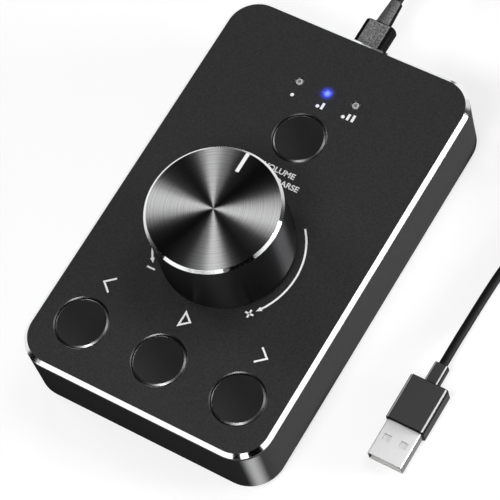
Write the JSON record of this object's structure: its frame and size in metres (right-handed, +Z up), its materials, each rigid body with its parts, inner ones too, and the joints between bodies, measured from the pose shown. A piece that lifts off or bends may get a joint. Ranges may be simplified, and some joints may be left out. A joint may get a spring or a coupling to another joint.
{
  "type": "usb volume control knob",
  "caption": "Flat metal desktop box with a large push-and-turn knob, round keys, mode lamps and a plug-in USB lead, for setting a computer's volume.",
  "frame": {"origin": "on the table under the middle of the box", "axes": "+X to the right, +Y to the back edge with the socket, +Z up through the knob's top"},
  "size_m": [0.1481, 0.2023, 0.0528],
  "materials": {
    "plate_metal": "fine bead-blasted dark grey anodised, bright cut bevel",
    "case_metal": "satin dark grey anodised",
    "key_metal": "bead-blasted dark grey anodised, bright cut rim",
    "knob_metal": "concentric turned black anodised, bright cut rim",
    "knob_plastic": "moulded black",
    "white_fill": "white paint fill",
    "adhesive": "black foam tape",
    "cover_plastic": "fine spark-eroded black",
    "foot_rubber": "matt black",
    "steel": "plain bright steel",
    "black_steel": "black zinc",
    "board": "green solder mask",
    "black_plastic": "moulded black",
    "white_plastic": "moulded white",
    "part_ceramic": "small ceramic parts",
    "led": "clear resin over white",
    "lamp_plain": "milky clear, unlit",
    "lamp_lit": "milky clear, lit blue",
    "bronze": "spring bronze",
    "gold_contact": "gold plated",
    "plug_shell": "nickel plated",
    "plug_rubber": "soft-touch black",
    "cable_rubber": "smooth black jacket"
  },
  "bodies": {
    "housing": {"face_plate": "plate_metal", "adhesive_sheet": "adhesive", "case_body": "case_metal", "bottom_cover": "cover_plastic", "cover_screws": "black_steel", "rubber_feet": "foot_rubber", "main_board": "board", "board_screws": "steel", "tact_switches": "black_plastic", "led_chips": "led", "light_pipe_low": "lamp_plain", "light_pipe_medium": "lamp_lit", "light_pipe_high": "lamp_plain", "controller_chip": "black_plastic", "crystal": "steel", "board_parts": "part_ceramic", "usb_c_socket": "steel", "usb_c_tongue": "black_plastic", "encoder_housing": "black_plastic", "encoder_frame": "steel", "encoder_pins": "steel", "encoder_click_spring": "bronze", "encoder_washer": "steel", "encoder_nut": "steel"},
    "rotor": {"encoder_rotor": "black_plastic"},
    "knob": {"encoder_shaft": "steel", "knob_shell": "knob_metal", "knob_core": "knob_plastic", "knob_indicator": "white_fill"},
    "previous_button": {"previous_key": "key_metal", "previous_plunger": "black_plastic"},
    "play_button": {"play_key": "key_metal", "play_plunger": "black_plastic"},
    "next_button": {"next_key": "key_metal", "next_plunger": "black_plastic"},
    "mode_button": {"mode_key": "key_metal", "mode_plunger": "black_plastic"},
    "lead": {"usb_c_plug_shell": "plug_shell", "usb_c_plug_body": "plug_rubber", "usb_c_relief": "cable_rubber", "usb_cable_lead": "cable_rubber", "usb_cable_coil": "cable_rubber", "usb_cable_tail": "cable_rubber", "usb_a_relief": "cable_rubber", "usb_a_plug_body": "plug_rubber", "usb_a_shell": "plug_shell", "usb_a_tongue": "white_plastic", "usb_a_contacts": "gold_contact"}
  },
  "joints": [
    {"name": "knob_turn", "type": "hinge", "parent": "housing", "child": "rotor", "pos_m": [0, -0.0115, 0.03], "axis": [0, 0, 1], "continuous": true},
    {"name": "knob_push", "type": "slide", "parent": "rotor", "child": "knob", "axis": [0, 0, 1], "range_m": [-0.0005, 0], "stiffness_N_per_m": 4000, "springref_m": 0.00075},
    {"name": "previous_press", "type": "slide", "parent": "housing", "child": "previous_button", "axis": [0, 0, 1], "range_m": [-0.0008, 0], "stiffness_N_per_m": 1500, "springref_m": 0.0005},
    {"name": "play_press", "type": "slide", "parent": "housing", "child": "play_button", "axis": [0, 0, 1], "range_m": [-0.0008, 0], "stiffness_N_per_m": 1500, "springref_m": 0.0005},
    {"name": "next_press", "type": "slide", "parent": "housing", "child": "next_button", "axis": [0, 0, 1], "range_m": [-0.0008, 0], "stiffness_N_per_m": 1500, "springref_m": 0.0005},
    {"name": "mode_press", "type": "slide", "parent": "housing", "child": "mode_button", "axis": [0, 0, 1], "range_m": [-0.0008, 0], "stiffness_N_per_m": 1500, "springref_m": 0.0005},
    {"name": "lead_unplug", "type": "slide", "parent": "housing", "child": "lead", "axis": [0, 1, 0], "range_m": [0, 0.012]}
  ]
}
